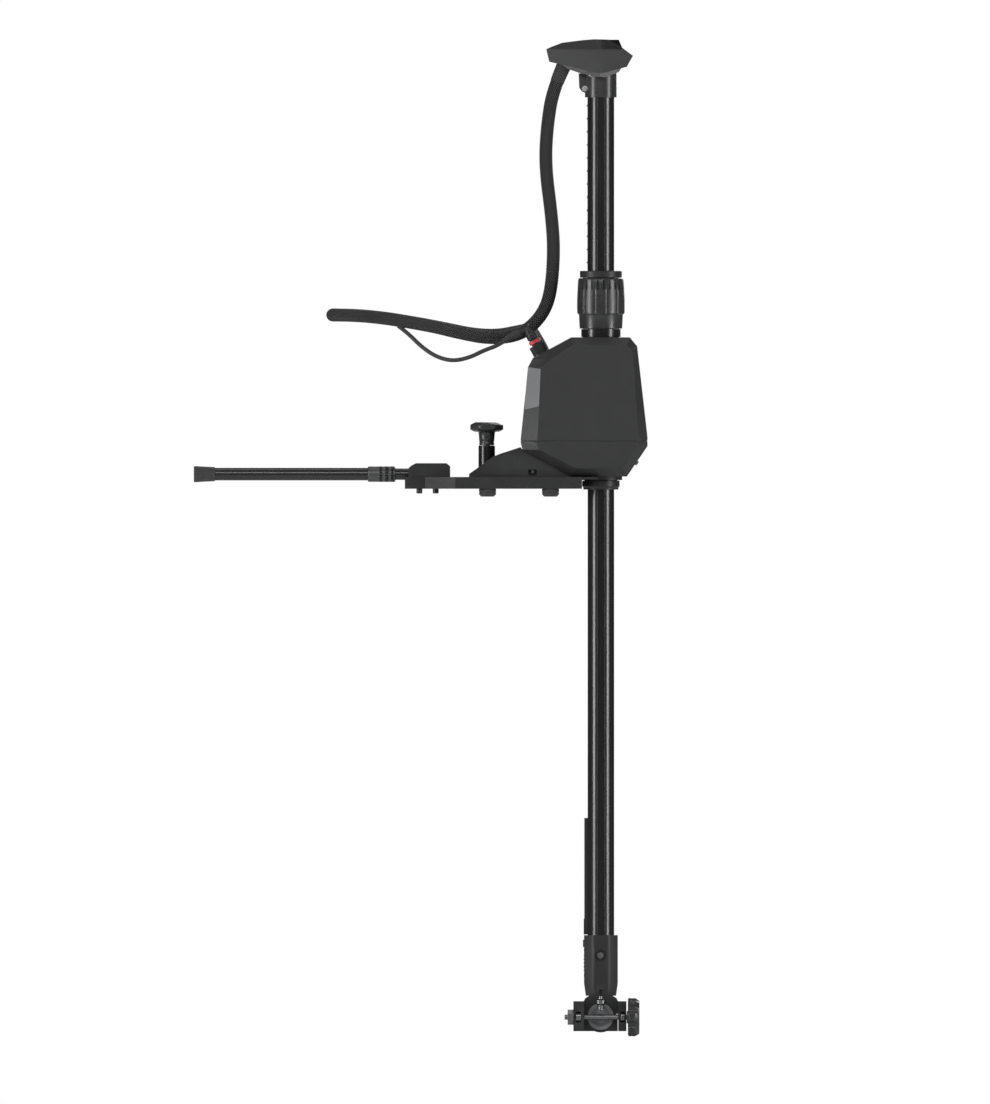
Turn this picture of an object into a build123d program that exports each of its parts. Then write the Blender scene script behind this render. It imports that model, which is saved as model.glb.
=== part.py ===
from build123d import *
import os
from math import acos, cos, hypot, pi, radians, sin, tan

# A motorised, steerable transducer pole mount for a bow deck, in the manner of a trolling motor.
# Millimetres. Origin: centre of the four deck bolts, on the deck. +X outboard, +Y to starboard, +Z up.

# ---------------------------------------------------------------- driving dimensions
POLE_X = 104.0                 # the pole's axis
POLE_R = 17.5
POLE_BORE_R = 14.0
POLE_TOP = 535.0
POLE_BOTTOM = -600.0
GROOVE_WIDTH = 9.0
GROOVE_FLOOR = 15.9            # from the pole's axis to the flat floor of a groove
STRIP_Z = (288.0, 506.5)
STRIP_PITCH = 16.6
CABLE_COVER_Z = (-556.0, -408.0)

WALL = 3.0                     # housing covers
HOUSING_HALF_DEPTH = 52.0
HOUSING_SHOULDER = 38.0        # where the bevel of the front and back faces starts
PARTING_Z = (70.2, 71.2)
# outline of the housing in X, Z, and of its flat front face, corner for corner
HOUSING_OUTLINE = [(66.3, 202.4), (140.6, 202.4), (150.1, 191.0), (163.2, 75.8), (163.2, 64.1), (137.0, 25.5),
                   (66.3, 27.0), (4.3, 59.8), (1.8, 70.0), (11.6, 164.8), (17.4, 175.8)]
HOUSING_FACE = [(69.2, 192.5), (136.3, 192.5), (144.3, 185.2), (151.5, 71.5), (149.4, 64.1), (132.6, 36.4),
                (71.4, 36.4), (25.4, 59.8), (23.2, 65.7), (27.7, 162.6), (40.0, 174.2)]

TUBE_BORE_R = 17.9             # steering tube round the pole
TUBE_R = 23.0
BUSH_BORE_R = 23.05
BUSH_R = 26.0
STRIP_SLOT_R = 19.4            # how deep the tube's slot for the depth strip reaches
GEAR_MODULE = 1.25
GEAR_TEETH = 60
PINION_TEETH = 20
GEAR_Z = (84.0, 98.0)
PINION_X = POLE_X - GEAR_MODULE * (GEAR_TEETH + PINION_TEETH) / 2
PRESSURE_ANGLE = radians(20.0)
GEAR_BACKLASH = 0.35

PLATE_Z = (10.0, 25.0)
BOLT_X = 40.0                  # deck bolts at plus and minus these
BOLT_Y = 38.0
BOLT_R = 3.3
FOOT_R = 11.0
CHEEK_Y = (30.0, 34.0)         # the bracket's two side walls
KNOB_X = -41.0
PIN_R = 4.0
RUNNING = 0.06                 # radial clearance of a running fit

ARM_Z = 28.6
INNER_TUBE_R = 7.3
OUTER_TUBE_R = 8.0

HUB_X = 103.6                  # tilt hub of the transducer clamp, axis along Y
HUB_Z = -660.4
HUB_R = 17.0
CROSS_BOLT_Y = -27.5
CROSS_BOLT_Z = -661.0
CROSS_BOLT_R = 3.25

LOOM_R = 8.25
LEAD_R = 2.65
COIL_X = 40.0                  # the stored coil's two turns lie in this plane, one inside the other
COIL_R = 82.5                  # to the middle of its outer turn
COIL_CENTRE = (146.0, 90.75)   # Y, Z of the stored coil, which stands on the deck
# the loom's route, hung from the head, past the elbow plug, out over the deck, back and down to its coil
LOOM_UPPER_ROUTE = [(58.6, 0, 550.9), (43.5, 0, 519), (35.5, 1, 470), (33.2, 3, 420), (41.5, 6, 356),
                    (44.5, 9, 312), (42.64, 10.96, 286.5)]
LOOM_LOWER_ROUTE = [(42.6, 11, 286), (40.5, 13, 257), (28, 17, 228), (3, 20, 205.5), (-36, 20, 200.5),
                    (-76, 20, 208), (-113, 20, 217.5), (-190, 22, 230), (-252, 130, 231), (-190, 238, 230),
                    (-113, 240, 217.5), (-40, 239, 202), (11, 190, 212), (15, 118, 213), (39, 67, 170),
                    (40, 63.5, 98)]
LEAD_ROUTE = [(0.2, 0, 208.0), (-11, -1, 203), (-27, -2, 192), (-44, -1, 186), (-63, 2, 176.5), (-85, 6, 172),
              (-106, 11, 178), (-124, 16, 190.5), (-141, 19, 207.5), (-153.5, 20, 217)]


# ---------------------------------------------------------------- shape helpers
def box(x, y, z):
    """A block from three pairs of limits."""
    middle = Pos((x[0] + x[1]) / 2, (y[0] + y[1]) / 2, (z[0] + z[1]) / 2)
    return middle * Box(abs(x[1] - x[0]), abs(y[1] - y[0]), abs(z[1] - z[0]))


def rod(start, end, radius):
    """A round bar between two points."""
    start = Vector(*start)
    along = Vector(*end) - start
    return extrude(Plane(origin=start, z_dir=along) * Circle(radius), along.length)


def upright(x, y, z, radius):
    """A round bar along Z between two heights."""
    return rod((x, y, z[0]), (x, y, z[1]), radius)


def ring(x, y, z, outer, inner):
    """A plain ring about a vertical axis."""
    return upright(x, y, z, outer) - upright(x, y, z, inner)


def turned(profile, x=POLE_X, y=0.0):
    """A solid of revolution about a vertical axis, from its closed (radius, height) profile."""
    face = make_face(Polyline(*[(x + r, y, z) for r, z in profile], close=True))
    return revolve(face, axis=Axis((x, y, 0), (0, 0, 1)))


def prism_y(points, y):
    """An outline in X, Z carried along Y."""
    face = make_face(Polyline(*[(px, y[0], pz) for px, pz in points], close=True))
    return extrude(face, amount=y[1] - y[0], dir=(0, 1, 0))


def prism_z(points, z):
    """An outline in X, Y carried along Z."""
    face = make_face(Polyline(*[(px, py, z[0]) for px, py in points], close=True))
    return extrude(face, amount=z[1] - z[0], dir=(0, 0, 1))


def ruled(first, second):
    """A solid with straight walls between two closed outlines that have the same number of corners."""
    wires = [Wire.make_polygon([Vector(*p) for p in points], close=True) for points in (first, second)]
    return Solid.make_loft(wires, ruled=True)


def inset(points, distance):
    """A convex outline moved inwards, corner for corner."""
    count = len(points)
    area = sum(points[i - 1][0] * points[i][1] - points[i][0] * points[i - 1][1] for i in range(count))
    side = 1.0 if area > 0 else -1.0
    lines = []
    for i in range(count):
        ax, ay = points[i]
        bx, by = points[(i + 1) % count]
        long = hypot(bx - ax, by - ay)
        nx, ny = -(by - ay) / long * side, (bx - ax) / long * side
        lines.append((nx, ny, nx * ax + ny * ay + distance))
    corners = []
    for i in range(count):
        a1, b1, c1 = lines[i - 1]
        a2, b2, c2 = lines[i]
        det = a1 * b2 - a2 * b1
        corners.append(((c1 * b2 - c2 * b1) / det, (a1 * c2 - a2 * c1) / det))
    return corners


def gear_outline(teeth, centre_x, phase_degrees, addendum):
    """An involute gear's outline about a vertical axis at centre_x."""
    pitch_r = GEAR_MODULE * teeth / 2
    base_r = pitch_r * cos(PRESSURE_ANGLE)
    tip_r = pitch_r + addendum * GEAR_MODULE
    root_r = pitch_r - 1.25 * GEAR_MODULE
    half = pi / (2 * teeth) - GEAR_BACKLASH / (2 * pitch_r) / 2
    lowest = max(base_r, root_r)
    steps = 4
    flank = []
    for i in range(steps):
        r = lowest + (tip_r - lowest) * i / (steps - 1)
        turn = acos(min(1.0, base_r / r))
        flank.append((r, half + tan(PRESSURE_ANGLE) - PRESSURE_ANGLE - (tan(turn) - turn)))
    rising = [(root_r, flank[0][1])] + flank if root_r < lowest - 0.01 else flank
    points = []
    for k in range(teeth):
        middle = radians(phase_degrees) + 2 * pi * k / teeth
        side = [(r, middle - a) for r, a in rising] + [(r, middle + a) for r, a in reversed(rising)]
        points += [(centre_x + r * cos(a), r * sin(a)) for r, a in side]
    return points


def cord_tube(route, radius, label):
    """A cord's tube: straight runs joined by arcs as large as the runs allow."""
    points = [Vector(*p) for p in route]
    runs = [points[i + 1] - points[i] for i in range(len(points) - 1)]
    radii = []
    for before, after in zip(runs, runs[1:]):
        half_turn = radians(before.get_angle(after)) / 2
        radii.append(0.45 * min(before.length, after.length) / tan(half_turn))
    print(label, "arc radii", [round(r) for r in radii])
    path = FilletPolyline(*points, radius=radii)
    tube = sweep(Plane(origin=points[0], z_dir=runs[0]) * Circle(radius), path=path)
    print(label, "length", round(path.length, 1), "volume ratio", round(tube.volume / (pi * radius**2 * path.length), 4))
    return tube


def screw(origin, out, head_r, head_h, shank_r, shank):
    """A screw: its head stands out from origin, its shank goes in."""
    origin, out = Vector(*origin), Vector(*out).normalized()
    head = rod(tuple(origin), tuple(origin + out * head_h), head_r)
    return head + rod(tuple(origin - out * shank), tuple(origin), shank_r)


def save(name, *solids):
    """One named node, as one solid or a group of separate ones."""
    shape = solids[0] if len(solids) == 1 else Compound(children=[Part(s.wrapped) for s in solids])
    export_step(shape, f"parts/{name}.step")


# ---------------------------------------------------------------- base plate, feet and arm
FLOOR_SCREWS = [(-18.0, -20.0), (-18.0, 20.0), (1.0, -20.0), (1.0, 20.0)]
PLATE_HALF = 50.0
PLATE_POCKETS_X = [(-74, -54), (-26, -3), (5, 26), (54, 68)]
PLATE_POCKET_Y = (16, 44)
STUDS = [(x, y) for x in (-126.5, -105.8) for y in (-12.0, 12.0)]
DECK_BOLTS = [(x, y) for x in (-BOLT_X, BOLT_X) for y in (-BOLT_Y, BOLT_Y)]


def base_plate():
    half = PLATE_HALF
    plan = [(-145, -17), (-142, -20), (-119, -20), (-81, -half), (76, -half), (80, -46),
            (80, 46), (76, half), (-81, half), (-119, 20), (-142, 20), (-145, 17)]
    plate = prism_z(plan, PLATE_Z)
    plate += box((80, 100), (-46, 46), (22, 25))
    for x in PLATE_POCKETS_X:
        for side in (-1, 1):
            plate -= box(x, (side * PLATE_POCKET_Y[0], side * PLATE_POCKET_Y[1]), (10, 19))
    plate -= upright(POLE_X, 0, (9, 26), 28.0)
    plate -= rod((-146, 0, ARM_Z), (-94, 0, ARM_Z), INNER_TUBE_R)
    plate -= upright(KNOB_X, 0, (9, 26), 8.0)
    for x, y in DECK_BOLTS:
        plate -= upright(x, y, (9, 26), BOLT_R)
    for x, y in STUDS:
        plate -= upright(x, y, (9, 26), 3.0)
    for x, y in FLOOR_SCREWS:
        plate -= upright(x, y, (12, 26), 2.5)
    return plate


def mount_feet():
    profile = [(BOLT_R, 0), (FOOT_R - 3, 0), (FOOT_R, 3), (FOOT_R, 10), (BOLT_R, 10)]
    return [turned(profile, x, y) for x, y in DECK_BOLTS]


def arm_block():
    side = [(-140.5, 25), (-87.4, 25), (-87.4, 38.5), (-92, 42.5), (-131, 42.5), (-137.5, 39.0), (-140.5, 36)]
    block = prism_y(side, (-18, 18))
    block -= rod((-146, 0, ARM_Z), (-94, 0, ARM_Z), INNER_TUBE_R)
    for x, y in STUDS:
        block -= upright(x, y, (24, 43), 3.0)
        block -= upright(x, y, (39, 43), 4.6)
    return block


def arm_studs():
    profile = [(0, 4), (3.2, 4), (3.8, 4.8), (3.8, 10), (3, 10), (3, 39), (4.5, 39), (4.5, 42), (0, 42)]
    return [turned(profile, x, y) for x, y in STUDS]


def tube_x(x, outer, inner):
    """A tube along the arm's axis."""
    return rod((x[0], 0, ARM_Z), (x[1], 0, ARM_Z), outer) - rod((x[0], 0, ARM_Z), (x[1], 0, ARM_Z), inner)


def arm_lock_collar():
    body = rod((-192, 0, ARM_Z), (-157, 0, ARM_Z), 9.85)
    body = fillet(body.edges().filter_by(GeomType.CIRCLE), 1.6)
    body -= rod((-193, 0, ARM_Z), (-177, 0, ARM_Z), OUTER_TUBE_R + RUNNING)
    body -= rod((-178, 0, ARM_Z), (-156, 0, ARM_Z), INNER_TUBE_R + RUNNING)
    for x in (-175.4, -166.4, -160.7):
        for turn in range(0, 360, 60):
            slot = Pos(x, 0, ARM_Z) * Rot(X=turn) * Pos(0, 0, 9.4) * Box(1.2, 6.5, 1.6)
            body -= slot
    return body


def arm_foot():
    body = rod((-413, 0, ARM_Z), (-404.9, 0, ARM_Z), 10.35)
    body += rod((-404.9, 0, ARM_Z), (-386, 0, ARM_Z), 9.6)
    body = fillet(body.edges().filter_by(GeomType.CIRCLE).sort_by(Axis.X)[0], 2.0)
    return body - rod((-405, 0, ARM_Z), (-385, 0, ARM_Z), OUTER_TUBE_R)


# ---------------------------------------------------------------- bracket and release knob
WEB_PLANE = Plane(origin=(35.3, 0, 43.1), x_dir=(0.884, 0, -0.468), z_dir=(-0.468, 0, -0.884))
SIDE_WINDOW_X = (12.0, 22.6)
SIDE_WINDOW_Z = (26.8, 34.4)
WEB_SCREWS = [(-10.0, -16.0), (-10.0, 16.0), (8.0, -16.0), (8.0, 16.0)]


def mount_bracket():
    """Two side walls, a floor, and a slanting web that lies against the housing's underside."""
    high, low = HOUSING_OUTLINE[7], HOUSING_OUTLINE[6]
    cheek = [(-63.7, 25), (-63.2, 29), (-52.6, 36.6), (-33.5, 50.8), (-22, 55.2), (1.8, 62.9), high, low, (66.2, 25)]
    bracket = prism_y(cheek, (-CHEEK_Y[1], -CHEEK_Y[0])) + prism_y(cheek, CHEEK_Y)
    bracket += box((-63.4, 61.0), (-CHEEK_Y[0], CHEEK_Y[0]), (25, 29))
    bracket += prism_y([high, low, (80, 26.7), (80, 25), (60.5, 25), (2.0, 56.1)], (-CHEEK_Y[0], CHEEK_Y[0]))
    for side in (-1, 1):
        bracket += box((10.5, 24), (side * 26, side * 31), (26, 36))
        bracket -= box(SIDE_WINDOW_X, (side * 29, side * 35), SIDE_WINDOW_Z)
        bracket -= rod((17.3, side * 25, 31.6), (17.3, side * 30, 31.6), 1.6)
    bracket -= upright(POLE_X, 0, (24, 28), 28.0)
    bracket -= upright(KNOB_X, 0, (24, 30), PIN_R + 0.4)
    for x, y in FLOOR_SCREWS:
        bracket -= upright(x, y, (24, 30), 2.7)
    for u, v in WEB_SCREWS:
        bracket -= WEB_PLANE.location * Pos(u, v, 2) * Cylinder(2.1, 10)
    return bracket


def bracket_screws():
    screws = [screw((x, y, 29), (0, 0, 1), 4.5, 3, 2.5, 15) for x, y in FLOOR_SCREWS]
    for side in (-1, 1):
        screws.append(screw((17.3, side * 29, 31.6), (0, side, 0), 2.6, 2.6, 1.6, 3))
    return screws


def web_screws():
    screws = []
    for u, v in WEB_SCREWS:
        screws.append(WEB_PLANE.location * Pos(u, v, 6.2) * Cylinder(3.6, 3)
                      + WEB_PLANE.location * Pos(u, v, -1.7) * Cylinder(2.0, 13.6))
    return screws


def plunger_barrel():
    barrel = turned([(PIN_R + RUNNING, 29), (11.25, 29), (11.25, 33), (10.5, 36), (10.5, 64), (9.8, 65),
                     (PIN_R + RUNNING, 65)], KNOB_X)
    return barrel - upright(KNOB_X, 0, (31, 60), 7.6)


def release_knob():
    profile = [(0, 65.3), (9.5, 65.3), (9.5, 68), (9.9, 76), (10.4, 82.3), (16, 82.3), (22.1, 86.5), (22.1, 90.5),
               (14.5, 94.6), (0, 94.6)]
    knob = turned(profile, KNOB_X)
    for turn in range(8):
        notch = Pos(KNOB_X, 0, 88.5) * Rot(Z=45 * turn + 22.5) * Pos(25.4, 0, 0) * Cylinder(4.6, 20)
        knob -= notch
    return knob - upright(KNOB_X, 0, (65, 86), PIN_R)


def release_pin():
    return turned([(0, 14), (3.0, 14), (PIN_R, 15), (PIN_R, 32.4), (7.2, 32.4), (7.2, 35), (PIN_R, 35),
                   (PIN_R, 86), (0, 86)], KNOB_X)


def release_spring():
    coil = Helix(pitch=4.3, height=21.5, radius=5.7, center=(KNOB_X, 0, 36.6))
    return sweep(Plane(origin=coil @ 0, z_dir=coil % 0) * Circle(0.8), path=coil)


# ---------------------------------------------------------------- housing, chassis and drive
def housing_form(step_in):
    """The whole faceted housing, with every wall moved in by step_in."""
    outline = inset(HOUSING_OUTLINE, step_in)
    face = inset(HOUSING_FACE, step_in)
    shoulder, depth = HOUSING_SHOULDER, HOUSING_HALF_DEPTH - step_in
    form = prism_y(outline, (-shoulder, shoulder))
    for side in (-1, 1):
        form += ruled([(x, side * shoulder, z) for x, z in outline], [(x, side * depth, z) for x, z in face])
    return form


def housing_shell():
    shell = housing_form(0) - housing_form(WALL)
    shell -= upright(POLE_X, 0, (190, 210), 27.0)
    return shell


def upper_cover(shell):
    cover = shell & box((-20, 190), (-60, 60), (PARTING_Z[1], 210))
    cover -= SOCKET_PLANE.location * Pos(0, 0, -2) * Cylinder(6.7, 12)
    return cover


def lower_cover(shell):
    cover = shell & box((-20, 190), (-60, 60), (0, PARTING_Z[0]))
    cover += upright(POLE_X, 0, (21, 28.4), 27.0)
    cover -= upright(POLE_X, 0, (20, 31), 24.2)
    cover -= upright(POLE_X, 0, (28.4, 31), 26.0)
    for u, v in WEB_SCREWS:
        cover -= WEB_PLANE.location * Pos(u, v, 0) * Cylinder(2.1, 14)
    for y in (-30, 30):
        cover -= rod(CORNER_SCREW_AT[0:1] + (y,) + CORNER_SCREW_AT[1:], (140, y, 49.2), 1.9)
    return cover


def cover_gasket():
    band = housing_form(0.7) - housing_form(2.4)
    return band & box((-20, 190), (-60, 60), PARTING_Z)


CORNER_SCREW_AT = (149.0, 43.2)
CORNER_OUT = (0.827, 0, -0.562)


def cover_screws():
    return [screw((CORNER_SCREW_AT[0] + 0.1, y, CORNER_SCREW_AT[1] - 0.05), CORNER_OUT, 3.2, 2.2, 1.6, 8)
            for y in (-30, 30)]


def chassis():
    frame = box((62, 136), (-39, 39), (34, 40))
    frame += prism_y([(16.6, 57.9), (62.6, 33.6), (68, 36), (68, 39.5), (64, 40), (19, 63)], (-24, 24))
    frame += box((56, 140), (-40, 40), (184, 190))
    frame += upright(POLE_X, 0, (32, 58), 30.0)
    frame += upright(POLE_X, 0, (176, 196), 31.0)
    for x in (70, 134):
        for y in (-36, 36):
            frame += upright(x, y, (40, 184), 4.5)
    frame += box((33, 78), (-40, 40), (104, 108))
    for y in (-36, 36):
        for z in (122, 160):
            frame += box((134, 145.4), (y - 2.5, y + 2.5), (z - 2, z + 2))
    frame -= upright(POLE_X, 0, (30, 200), BUSH_R)
    frame -= upright(PINION_X, 0, (103, 109), 8.0)
    for u, v in WEB_SCREWS:
        frame -= WEB_PLANE.location * Pos(u, v, -4) * Cylinder(2.0, 18)
    return frame


def motor_gearbox():
    body = upright(PINION_X, 0, (108, 133), 18.0) + upright(PINION_X, 0, (108, 111), 20.0)
    return body - upright(PINION_X, 0, (107, 122), PIN_R + RUNNING)


def drive_motor():
    body = upright(PINION_X, 0, (133, 170), 17.0) + upright(PINION_X, 0, (170, 173), 8.0)
    for y in (-12, 12):
        body += box((PINION_X - 2, PINION_X + 2), (y - 0.4, y + 0.4), (170, 175))
    return body


def drive_pinion():
    pinion = prism_z(gear_outline(PINION_TEETH, PINION_X, 9.0, 0.9), (GEAR_Z[0] - 1, GEAR_Z[1] + 1))
    return pinion + upright(PINION_X, 0, (80, 120), PIN_R)


def steering_gear():
    gear = prism_z(gear_outline(GEAR_TEETH, POLE_X, 0.0, 0.8), GEAR_Z)
    for turn in range(0, 360, 60):
        gear -= Pos(POLE_X, 0, 91) * Rot(Z=turn) * Pos(29.5, 0, 0) * Cylinder(3.2, 20)
    return gear - upright(POLE_X, 0, (80, 100), TUBE_R)


def steering_tube():
    tube = turned([(TUBE_BORE_R, 9.3), (21, 9.3), (21, 21), (TUBE_R, 21), (TUBE_R, 202.8), (25, 202.8),
                   (25, 212.9), (TUBE_BORE_R, 212.9)])
    for turn in (0, 90, 270):
        tube += Pos(POLE_X, 0, 110) * Rot(Z=turn) * Pos((16.35 + 18.6) / 2, 0, 0) * Box(2.25, 7.6, 180)
    tube -= box((POLE_X - STRIP_SLOT_R, POLE_X - 10), (-5, 5), (55, 214))
    return tube


def pole_collet():
    collet = turned([(TUBE_BORE_R, 213), (TUBE_R, 213), (TUBE_R, 278), (TUBE_BORE_R, 278)])
    for turn in (45, 135, 225, 315):
        collet -= Pos(POLE_X, 0, 258) * Rot(Z=turn) * Pos(20, 0, 0) * Box(12, 2, 44)
    return collet - box((POLE_X - STRIP_SLOT_R, POLE_X - 10), (-5, 5), (212, 279))


def collet_cap():
    cap = turned([(TUBE_BORE_R + 0.3, 278.1), (26.3, 278.1), (26.65, 279), (26.65, 286), (26.0, 286.8),
                  (TUBE_BORE_R + 0.3, 286.8)])
    return cap - box((POLE_X - STRIP_SLOT_R - 0.3, POLE_X - 10), (-5, 5), (278, 287))


def lower_ring():
    return turned([(21, 9), (22.2, 9), (22.2, 11.5), (23.75, 13), (23.75, 20.4), (21, 20.4)])


def depth_collar():
    bore = TUBE_R + RUNNING
    collar = turned([(bore, 213.3), (27, 213.3), (28, 230.5), (30.25, 232.5), (30.25, 250), (29, 275.5),
                     (27.5, 277.6), (bore, 277.6)])
    for turn in range(0, 360, 30):
        collar -= Pos(POLE_X, 0, 248) * Rot(Z=turn + 15) * Pos(31.6, 0, 0) * Cylinder(2.4, 30)
    return collar


def shaft_seals():
    return [ring(POLE_X, 0, (199.5, 202.3), 27.0, TUBE_R + 0.35), ring(POLE_X, 0, (28.5, 30.8), 26.0, TUBE_R + 0.35)]


def control_board():
    board = box((145.4, 147), (-40, 40), (106, 174))
    for y, z, size in ((-14, 122, 12), (10, 132, 16), (-8, 156, 14), (16, 160, 8)):
        board += box((141.9, 145.4), (y - size / 2, y + size / 2), (z - size / 2, z + size / 2))
    return board


# ---------------------------------------------------------------- power socket, plug and cords
SOCKET_PLANE = Plane(origin=(28.17, 0, 181.66), x_dir=(0.878, 0, 0.478), z_dir=(-0.478, 0, 0.878))


def on_facet(distance):
    """A point on the power socket's axis, at a distance from the housing's facet."""
    return tuple(Vector(28.17, 0, 181.66) + Vector(-0.478, 0, 0.878) * distance)


def power_socket():
    body = rod(on_facet(-8), on_facet(0), 6.4) + rod(on_facet(0.1), on_facet(1.6), 10.6)
    body += extrude(Plane(origin=on_facet(1.6), z_dir=(-0.478, 0, 0.878)) * RegularPolygon(10.2, 6), 11.2)
    return body - rod(on_facet(4), on_facet(13.0), 5.8)


ELBOW = 36.0
LEAD_OUT = Vector(-0.897, 0, -0.442)


def elbow_plug():
    corner = Vector(*on_facet(ELBOW))
    body = rod(on_facet(4), tuple(corner), 5.8) + Pos(corner) * Sphere(5.8)
    body += rod(tuple(corner), tuple(corner + LEAD_OUT * 9), 5.0)
    return body + rod(tuple(corner), tuple(corner + LEAD_OUT * 12), 4.0)


def plug_ring():
    return rod(on_facet(15), on_facet(19.5), 7.6) - rod(on_facet(14), on_facet(20), 5.8)


def loom_coil():
    y, z = COIL_CENTRE
    ends = [(COIL_X - LOOM_R, y, z), (COIL_X + LOOM_R, y, z)]
    return rod(*ends, COIL_R + LOOM_R) - rod(*ends, COIL_R - 3 * LOOM_R)


def loom_strap():
    """A band round both turns, on the side of the coil next to the housing."""
    near = COIL_CENTRE[0] - COIL_R - LOOM_R
    far = near + 4 * LOOM_R
    z = (COIL_CENTRE[1] - 10, COIL_CENTRE[1] + 10)
    hole_z = (z[0] - 1, z[1] + 1)
    outer = box((COIL_X - LOOM_R - 1.6, COIL_X + LOOM_R + 1.6), (near - 1.6, far + 1.6), z)
    return outer - box((COIL_X - LOOM_R - 0.3, COIL_X + LOOM_R + 0.3), (near - 0.3, far + 0.3), hole_z)


CONNECTOR_AT = Vector(COIL_X, 197, 100)
CONNECTOR_OUT = Vector(0, -0.6, 0.8)


def loom_connector():
    def along(distance):
        return tuple(CONNECTOR_AT + CONNECTOR_OUT * distance)

    body = rod(along(-3), along(33), 7.4) + rod(along(16), along(26), 8.9)
    return body - rod(along(22), along(34), 5.6)


# ---------------------------------------------------------------- pole and head
def grooved_pole():
    pole = upright(POLE_X, 0, (POLE_BOTTOM, POLE_TOP), POLE_R) - upright(
        POLE_X, 0, (POLE_BOTTOM - 1, POLE_TOP + 1), POLE_BORE_R)
    long = POLE_TOP - POLE_BOTTOM + 2
    for turn in (0, 90, 180, 270):
        middle = Pos(POLE_X, 0, (POLE_TOP + POLE_BOTTOM) / 2) * Rot(Z=turn)
        pole -= middle * Pos(GROOVE_FLOOR + 2, 0, 0) * Box(4, GROOVE_WIDTH, long)
    return pole


def depth_strip():
    left = POLE_X - GROOVE_FLOOR
    strip = box((left - 1.2, left), (-3.8, 3.8), STRIP_Z)
    count = int((STRIP_Z[1] - STRIP_Z[0]) / STRIP_PITCH)
    for k in range(count):
        z = STRIP_Z[1] - STRIP_PITCH * (k + 0.6)
        strip += rod((left - 1.2, -3.4, z), (left - 1.2, 3.4, z), 1.1)
    return strip


def cable_cover():
    left = POLE_X - GROOVE_FLOOR
    cover = box((left - 5.2, left), (-4.2, 4.2), CABLE_COVER_Z)
    cover += box((left - 6.0, left - 5.0), (-4.2, 4.2), (CABLE_COVER_Z[0], -536))
    return fillet(cover.edges().filter_by(Axis.Z).sort_by(Axis.X)[0:2], 0.4)


HEAD_SIDE = [(34.4, 568.7), (54.4, 576.4), (81, 579.8), (94.7, 580.9), (113.5, 580.5), (131.1, 570.2),
             (144.8, 559.9), (136.9, 545.8), (104.4, 537.5), (38.4, 552.2)]
HEAD_KITE = [(34.0, -5), (34.0, 5), (104, 36), (145, 7), (145, -7), (104, -36)]
HEAD_ROOF = [(66, -3), (66, 3), (104, 19), (124, 4), (124, -4), (104, -19)]
HEAD_CENTRE = (96.0, 0.0)


def head_form(step_in):
    """The faceted head, with its walls moved in by step_in."""
    kite = inset(HEAD_KITE, step_in)
    roof = [(HEAD_CENTRE[0] + (x - HEAD_CENTRE[0]) * 0.9, y * 0.9) for x, y in HEAD_ROOF] if step_in else HEAD_ROOF
    form = prism_z(kite, (530, 568))
    form += ruled([(x, y, 568) for x, y in kite], [(x, y, 583) for x, y in roof])
    return form & prism_y(inset(HEAD_SIDE, step_in), (-45, 45))


def head_cap():
    low = [(104.4, -29), (104.4, 29), (131.0, 11), (131.0, -11)]
    high = [(104.4, -19.5), (104.4, 19.5), (126.7, 8.5), (126.7, -8.5)]
    return ruled([(x, y, 570.3) for x, y in low], [(x, y, 580.3) for x, y in high])


def head_cover():
    cover = head_form(0) - head_form(2.5)
    cavity = inset(HEAD_KITE, 2.5)
    lower = [(45, 556), (104.4, 545), (132, 552), (132, 530), (45, 530)]
    cover -= prism_z(cavity, (530, 560)) & prism_y(lower, (-45, 45))
    return cover - head_cap()


def head_base():
    cavity = inset(HEAD_KITE, 2.8)
    side = [(47, 553.5), (61, 543.5), (76, 538.2), (98, 532.8), (110, 532.8), (126.5, 539), (131, 545.5),
            (131, 549), (104.4, 541.5)]
    base = prism_y(side, (-45, 45)) & prism_z(cavity, (530, 560))
    base += upright(POLE_X, 0, (507, 539), 20.3)
    ear = [(75.7, 537.5), (76.5, 519), (80, 514.5), (88, 511), (92, 511), (92, 537.5)]
    base += prism_y(ear, (-9, 9))
    base -= upright(POLE_X, 0, (506, 535), POLE_R)
    base -= box((75, 88), (-0.8, 0.8), (506, 530))
    base -= rod((83.7, -10, 518.3), (83.7, 14, 518.3), 2.1)
    base -= rod((83.7, -9, 518.3), (83.7, -16, 518.3), 4.2)
    base -= rod((62.1, 0, 558.0), (50.0, 0, 533.9), 10.7)
    return base


def head_screw():
    return screw((83.7, -9, 518.3), (0, -1, 0), 3.6, 2.6, 2.0, 20)


def head_board():
    board = box((62, 128), (-12, 12), (557, 558.6))
    for x, size in ((76, 10), (96, 14), (114, 8)):
        board += box((x - size / 2, x + size / 2), (-size / 2, size / 2), (558.6, 561.6))
    return board


def loom_gland():
    top, low = (58.1, 0, 550.0), (51.4, 0, 536.5)
    return rod(top, low, 10.4) - rod((59.5, 0, 552.7), (50.0, 0, 533.8), LOOM_R)


def loom_upper():
    return cord_tube(LOOM_UPPER_ROUTE, LOOM_R, "loom_upper")


# ---------------------------------------------------------------- pole socket and transducer clamp
def socket_section(reach, z):
    """The pole socket's faceted section, as far out as reach, at a height."""
    s = reach / 21.45
    quarter = [(7.2, 21.45), (11.5, 20.0), (20.0, 11.5), (21.45, 7.2)]
    corners = quarter + [(y, -x) for x, y in quarter] + [(-x, -y) for x, y in quarter] + [(-y, x) for x, y in quarter]
    return [(POLE_X + x * s, y * s, z) for x, y in corners]


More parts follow.
